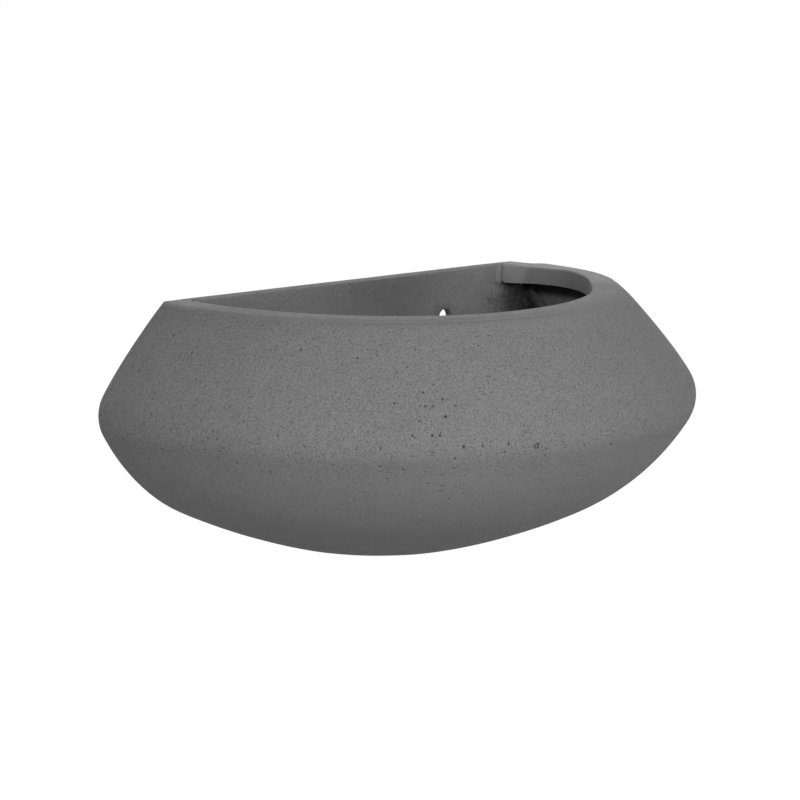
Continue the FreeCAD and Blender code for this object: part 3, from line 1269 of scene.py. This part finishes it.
def seen_ray(paint):
    """1 for rays from the camera and for those of reflections and glass."""
    path = paint.node("LightPath")
    seen = paint.math("MAXIMUM", path.outputs["Is Camera Ray"], path.outputs["Is Glossy Ray"])
    return paint.math("MAXIMUM", seen, path.outputs["Is Transmission Ray"])


def make_floor():
    """Pale floor that keeps the shadow under the planter and turns white further out."""
    p = Paint(bpy.data.materials.new("floor_paint"))
    seen = seen_ray(p)
    pale = p.node("BsdfDiffuse", {"Color": p.grey(p.ramp(seen, 0.0, 1.0, FLOOR_BOUNCE, FLOOR_SEEN))})
    white = p.node("Emission")
    far = p.node("VectorMath", {0: p.place}, operation="LENGTH")
    away = p.math("MULTIPLY", p.ramp(far.outputs["Value"], *FLOOR_WHITENING), seen)
    mix = p.node("MixShader", {0: away, 1: pale.outputs["BSDF"], 2: white.outputs["Emission"]})
    p.show(mix.outputs["Shader"])
    mesh = bpy.data.meshes.new("floor")
    half = FLOOR_HALF_WIDTH
    corners = [(-half, -half, 0), (half, -half, 0), (half, half, 0), (-half, half, 0)]
    mesh.from_pydata(corners, [], [(0, 1, 2, 3)])
    mesh.materials.append(p.owner)
    floor = new_object("floor", mesh)
    floor.location = (MIDDLE.x, MIDDLE.y, FLOOR_HEIGHT)


def make_sky():
    """White behind the planter, and wide soft lights all round it."""
    p = Paint(bpy.data.worlds.new("sky"), "Generated")
    light = 0.0
    for aim, strength in SOFT_LIGHTS:
        facing = p.node("VectorMath", {0: p.place, 1: Vector(aim).normalized()}, operation="DOT_PRODUCT")
        lobe = p.math("POWER", p.math("MAXIMUM", facing.outputs["Value"], 0.0), SOFTNESS)
        light = p.math("MULTIPLY_ADD", lobe, strength, light)
    seen = seen_ray(p)
    unseen_light = p.math("MULTIPLY", light, p.math("SUBTRACT", 1.0, seen))
    background = p.node("Background", {"Strength": p.math("ADD", unseen_light, seen)})
    p.show(background.outputs["Background"], "OutputWorld")
    bpy.context.scene.world = p.owner


def make_lamp(name, place, size, watts):
    """Square soft lamp that faces the planter."""
    data = bpy.data.lights.new(name, "AREA")
    data.size = size
    data.energy = watts
    lamp = new_object(name, data)
    lamp.location = place
    lamp.rotation_euler = (MIDDLE - Vector(place)).to_track_quat("-Z", "Y").to_euler()


def make_camera():
    """Camera in front of the planter, to the left and a little above it."""
    place = Matrix.Translation(CAMERA_PLACE)
    for angle, axis in ((-CAMERA_YAW, "Z"), (90 - CAMERA_PITCH, "X"), (CAMERA_ROLL, "Z")):
        place = place @ Matrix.Rotation(math.radians(angle), 4, axis)
    data = bpy.data.cameras.new("camera")
    data.lens = CAMERA_LENS
    data.sensor_width = CAMERA_SENSOR
    camera = new_object("camera", data)
    camera.matrix_world = place
    bpy.context.scene.camera = camera


stone = stone_paint("cast_stone", STONE_GREY)
mortar = stone_paint("mortar", MORTAR_GREY, MORTAR_COARSENESS)
rubber = rubber_paint("plug_rubber", RUBBER_GREY)

make_bowl(stone)
make_lip(stone)
make_panel(stone)
make_seam(mortar)
make_lip_strip("lip_mortar_left", "left_lip_seam", -1, FILLED_CORNER, mortar)
make_lip_strip("lip_mortar_right", "right_lip_seam", 1, RAISED_STRIP, mortar)
make_stopper(rubber)

make_floor()
make_sky()
make_lamp("rim_lamp", *RIM_LAMP)
make_lamp("low_lamp", *LOW_LAMP)
make_camera()
bpy.context.scene.view_settings.view_transform = "Standard"
